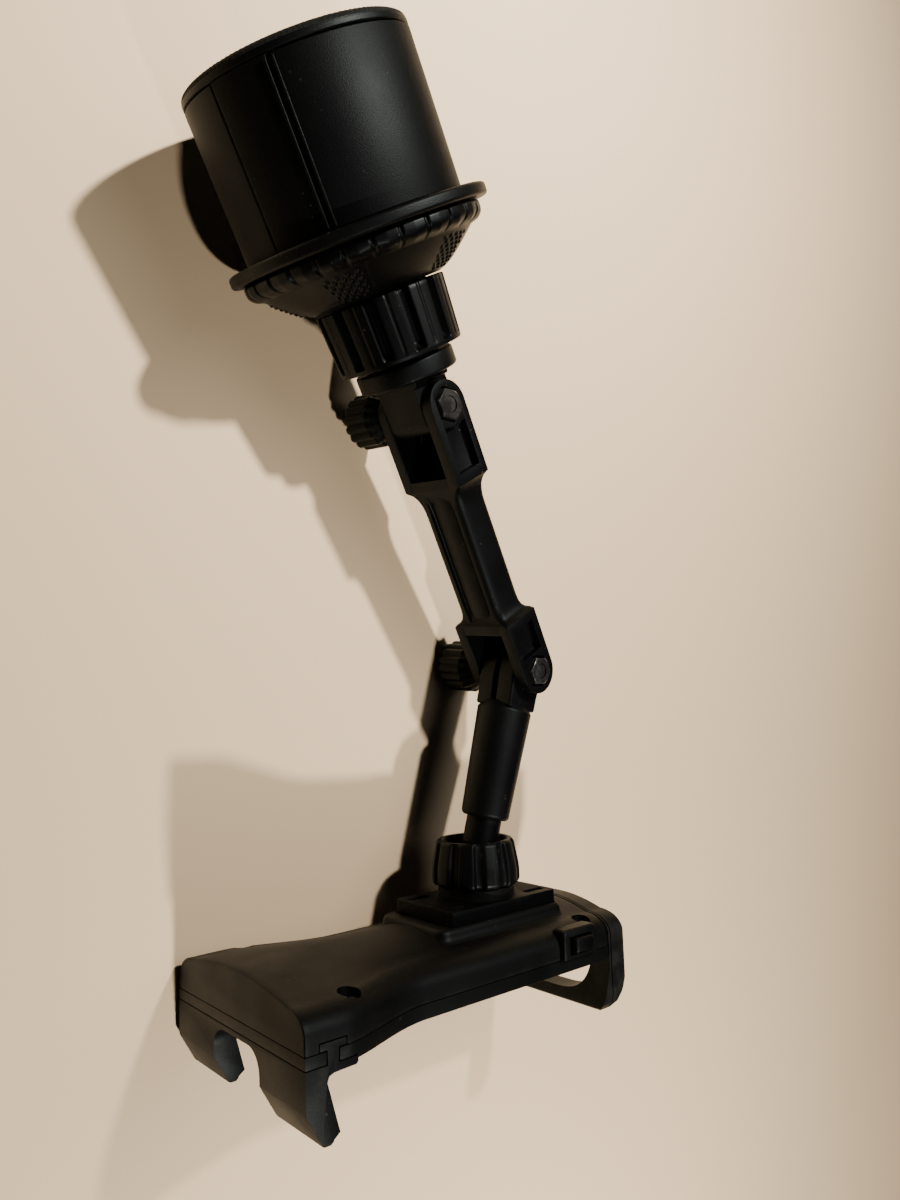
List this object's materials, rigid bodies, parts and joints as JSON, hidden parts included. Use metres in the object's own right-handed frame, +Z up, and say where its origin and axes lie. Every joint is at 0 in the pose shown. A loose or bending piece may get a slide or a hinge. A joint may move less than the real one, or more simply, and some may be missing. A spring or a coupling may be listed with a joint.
{
  "type": "tablet cup holder mount",
  "caption": "Widening cup holder plug with a two-hinge arm, ball joint and clamping tablet cradle with fixed hooks and a sliding jaw.",
  "frame": {"origin": "centre of the plug's foot, the face that stands in the cup holder", "axes": "+Z up the plug's axis towards the arm; the arm's two hinge axes lie along X at rest, with the clamp knobs on the -X side; +Y is the side the arm bends to"},
  "size_m": [0.0867, 0.1967, 0.3213],
  "materials": {
    "satin_black": "satin moulded ABS",
    "gloss_black": "semi-gloss moulded ABS",
    "matte_black": "matt moulded ABS",
    "rubber_black": "fine-textured rubber",
    "dark_steel": "blackened steel",
    "bright_steel": "plain steel",
    "natural_plastic": "natural acetal"
  },
  "bodies": {
    "plug": {"bottom_pad": "rubber_black", "bottom_cap": "satin_black", "base_core": "matte_black", "top_flange": "satin_black", "wing_pin_1": "bright_steel", "wing_pin_2": "bright_steel", "wing_pin_3": "bright_steel", "cam_retainer": "dark_steel", "neck_post": "matte_black", "neck_screw": "bright_steel"},
    "dial": {"dial_ring": "gloss_black", "cam_plate": "natural_plastic"},
    "wing_a": {"wing_1": "satin_black"},
    "wing_b": {"wing_2": "satin_black"},
    "wing_c": {"wing_3": "satin_black"},
    "collar": {"collar_nut": "gloss_black"},
    "swivel": {"arm_base": "satin_black"},
    "upper_arm": {"long_arm": "satin_black", "shoulder_nut": "dark_steel", "elbow_nut": "dark_steel"},
    "shoulder_clamp": {"shoulder_knob": "satin_black", "shoulder_stud": "dark_steel"},
    "elbow_clamp": {"elbow_knob": "satin_black", "elbow_stud": "dark_steel"},
    "fore_arm": {"short_arm": "satin_black", "ball_rod": "satin_black"},
    "liner": {"ball_liner": "natural_plastic"},
    "seat": {"ball_seat": "matte_black"},
    "cradle": {"mount_plate": "matte_black", "back_shell": "satin_black", "front_plate": "satin_black", "fixed_jaw": "satin_black", "shell_screw_1": "dark_steel", "shell_screw_2": "dark_steel", "shell_screw_3": "dark_steel", "shell_screw_4": "dark_steel"},
    "lock_nut": {"ring_nut": "gloss_black"},
    "sliding_jaw": {"moving_jaw": "satin_black", "jaw_rack": "natural_plastic"},
    "button": {"release_button": "satin_black", "latch_pawl": "dark_steel"}
  },
  "joints": [
    {"name": "dial_turn", "type": "hinge", "parent": "plug", "child": "dial", "pos_m": [0, 0, 0.055], "axis": [0, 0, 1], "range_deg": [0, 72]},
    {"name": "wing_a_swing", "type": "hinge", "parent": "plug", "child": "wing_a", "pos_m": [0.0198, 0.02411, 0.027], "axis": [0, 0, 1], "range_deg": [0, 18]},
    {"name": "wing_b_swing", "type": "hinge", "parent": "plug", "child": "wing_b", "pos_m": [-0.03078, 0.0051, 0.027], "axis": [0, 0, 1], "range_deg": [0, 18]},
    {"name": "wing_c_swing", "type": "hinge", "parent": "plug", "child": "wing_c", "pos_m": [0.01098, -0.0292, 0.027], "axis": [0, 0, 1], "range_deg": [0, 18]},
    {"name": "collar_turn", "type": "hinge", "parent": "plug", "child": "collar", "pos_m": [0, 0, 0.079], "axis": [0, 0, 1], "range_deg": [0, 90]},
    {"name": "arm_swivel", "type": "hinge", "parent": "plug", "child": "swivel", "pos_m": [0, 0, 0.088], "axis": [0, 0, 1], "continuous": true},
    {"name": "shoulder_tilt", "type": "hinge", "parent": "swivel", "child": "upper_arm", "pos_m": [0, 0, 0.10733], "axis": [-1, 0, 0], "range_deg": [-51, 48]},
    {"name": "shoulder_knob_turn", "type": "hinge", "parent": "upper_arm", "child": "shoulder_clamp", "pos_m": [0, 0, 0.10733], "axis": [-1, 0, 0], "range_deg": [0, 180]},
    {"name": "elbow_tilt", "type": "hinge", "parent": "upper_arm", "child": "fore_arm", "pos_m": [0, 0.00225, 0.20647], "axis": [-1, 0, 0], "range_deg": [-88, 36]},
    {"name": "elbow_knob_turn", "type": "hinge", "parent": "upper_arm", "child": "elbow_clamp", "pos_m": [0, 0.00225, 0.20647], "axis": [-1, 0, 0], "range_deg": [0, 180]},
    {"name": "ball_tilt", "type": "hinge", "parent": "fore_arm", "child": "liner", "pos_m": [0, 0.05223, 0.25646], "axis": [1, 0, 0], "range_deg": [-31, 4]},
    {"name": "ball_lean", "type": "hinge", "parent": "liner", "child": "seat", "pos_m": [0, 0.05223, 0.25646], "axis": [0, -0.855, 0.5187], "range_deg": [-7, 17]},
    {"name": "ball_spin", "type": "hinge", "parent": "seat", "child": "cradle", "pos_m": [0, 0.05223, 0.25646], "axis": [-0.0872, -0.5167, -0.8517], "continuous": true},
    {"name": "lock_nut_turn", "type": "hinge", "parent": "cradle", "child": "lock_nut", "pos_m": [0, 0.05223, 0.25646], "axis": [-0.0872, -0.5167, -0.8517], "range_deg": [0, 120]},
    {"name": "jaw_slide", "type": "slide", "parent": "cradle", "child": "sliding_jaw", "axis": [0.0975, -0.8553, 0.5089], "range_m": [0, 0.058]},
    {"name": "button_press", "type": "slide", "parent": "cradle", "child": "button", "axis": [-0.9914, -0.0387, 0.125], "range_m": [0, 0.0012], "stiffness_N_per_m": 500, "springref_m": -0.001}
  ],
  "couplings": [
    {"joint": "wing_a_swing", "follows": "dial_turn", "ratio": 0.25},
    {"joint": "wing_b_swing", "follows": "dial_turn", "ratio": 0.25},
    {"joint": "wing_c_swing", "follows": "dial_turn", "ratio": 0.25}
  ]
}
